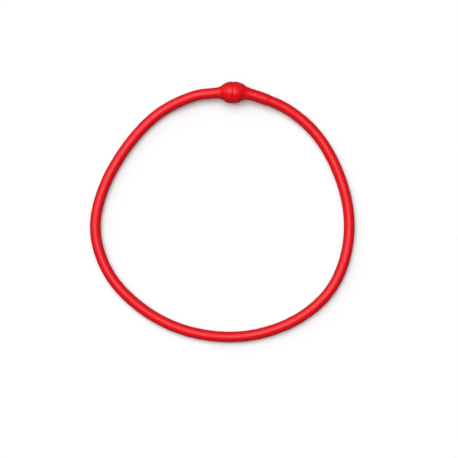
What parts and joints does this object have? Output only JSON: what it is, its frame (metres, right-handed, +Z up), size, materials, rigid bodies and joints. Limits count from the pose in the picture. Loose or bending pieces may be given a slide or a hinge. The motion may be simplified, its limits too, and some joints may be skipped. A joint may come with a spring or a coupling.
{
  "type": "magnetic wrist loop for pins",
  "caption": "Slim silicone wrist loop closed into a ring by a magnetic ball that parts at its middle and can hold steel pins; both sides of the loop swing open.",
  "frame": {"origin": "under the middle of the loop's outer box, on the surface that the loop lies on", "axes": "+Z up, out of the plane of the loop; +Y towards the ball clasp; +X along the clasp's axis, from its left half to its right half"},
  "size_m": [0.075, 0.0738, 0.0062],
  "materials": {
    "silicone_cord": "satin moulded silicone",
    "silicone_ball": "satin moulded silicone",
    "nickelled_magnet": "bright nickel plate",
    "steel_cup": "turned steel"
  },
  "bodies": {
    "loop_back": {"cord_back": "silicone_cord"},
    "left_side": {"cord_left": "silicone_cord", "left_ball_half": "silicone_ball", "left_magnet": "nickelled_magnet", "left_magnet_cup": "steel_cup"},
    "right_side": {"cord_right": "silicone_cord", "right_ball_half": "silicone_ball", "right_magnet": "nickelled_magnet", "right_magnet_cup": "steel_cup"}
  },
  "joints": [
    {"name": "left_side_opens", "type": "hinge", "parent": "loop_back", "child": "left_side", "pos_m": [-0.03012, -0.0225, 0.0015], "axis": [0, 0, 1], "range_deg": [0, 40], "stiffness_Nm_per_rad": 0.00016},
    {"name": "right_side_opens", "type": "hinge", "parent": "loop_back", "child": "right_side", "pos_m": [0.03464, -0.01807, 0.0015], "axis": [0, 0, -1], "range_deg": [0, 40], "stiffness_Nm_per_rad": 0.00016}
  ]
}
